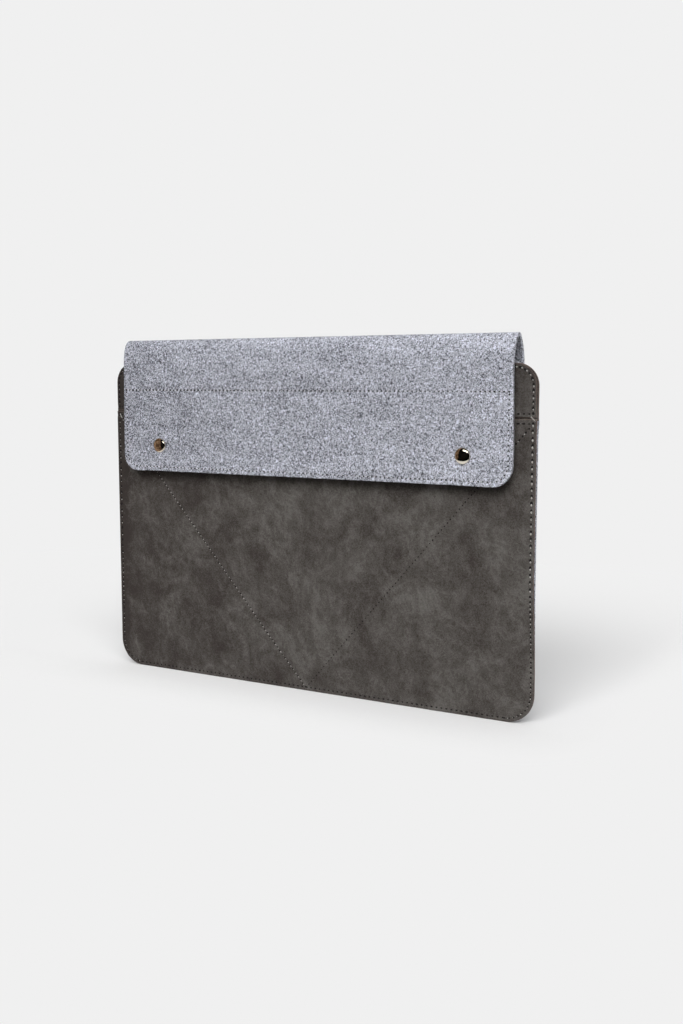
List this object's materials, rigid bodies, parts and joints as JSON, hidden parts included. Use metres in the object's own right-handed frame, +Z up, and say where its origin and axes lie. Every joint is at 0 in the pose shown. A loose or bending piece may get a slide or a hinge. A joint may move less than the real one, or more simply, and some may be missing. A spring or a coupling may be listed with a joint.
{
  "type": "laptop sleeve",
  "caption": "Upright laptop sleeve with a leather front, felt back and folded felt flap held by press studs; flap opens at its crease and leans back.",
  "frame": {"origin": "middle of the sleeve's depth and width, on the surface that its sewn bottom edge stands on", "axes": "+X to the right seen from the front, +Y to the back, +Z up"},
  "size_m": [0.374, 0.0218, 0.276],
  "materials": {
    "leather": "matte nubuck-like, mottled grey-brown",
    "felt": "pressed wool felt, heathered grey",
    "snap_metal": "polished, warm nickel",
    "thread": "polyester sewing thread, light grey"
  },
  "bodies": {
    "sleeve": {"front_panel": "leather", "top_band": "leather", "band_facing": "leather", "back_panel": "felt", "snap_stud_left": "snap_metal", "snap_stud_right": "snap_metal", "snap_post_left": "snap_metal", "snap_post_right": "snap_metal", "perimeter_stitching": "thread", "band_stitching": "thread", "seam_stitching_upper": "thread", "seam_stitching_lower": "thread", "v_stitching_left": "thread", "v_stitching_right": "thread", "bar_tack_left": "thread", "bar_tack_right": "thread"},
    "flap_neck": {"flap_root": "felt"},
    "flap": {"flap_front": "felt", "flap_lining": "leather", "snap_cap_left": "snap_metal", "snap_cap_right": "snap_metal", "snap_socket_left": "snap_metal", "snap_socket_right": "snap_metal", "flap_edge_stitching": "thread", "flap_row_stitching": "thread"}
  },
  "joints": [
    {"name": "flap_lean", "type": "hinge", "parent": "sleeve", "child": "flap_neck", "pos_m": [0, 0.0112, 0.25], "axis": [-1, 0, 0], "range_deg": [0, 170]},
    {"name": "flap_open", "type": "hinge", "parent": "flap_neck", "child": "flap", "pos_m": [0, 0.00095, 0.2763], "axis": [-1, 0, 0], "range_deg": [0, 180]}
  ]
}
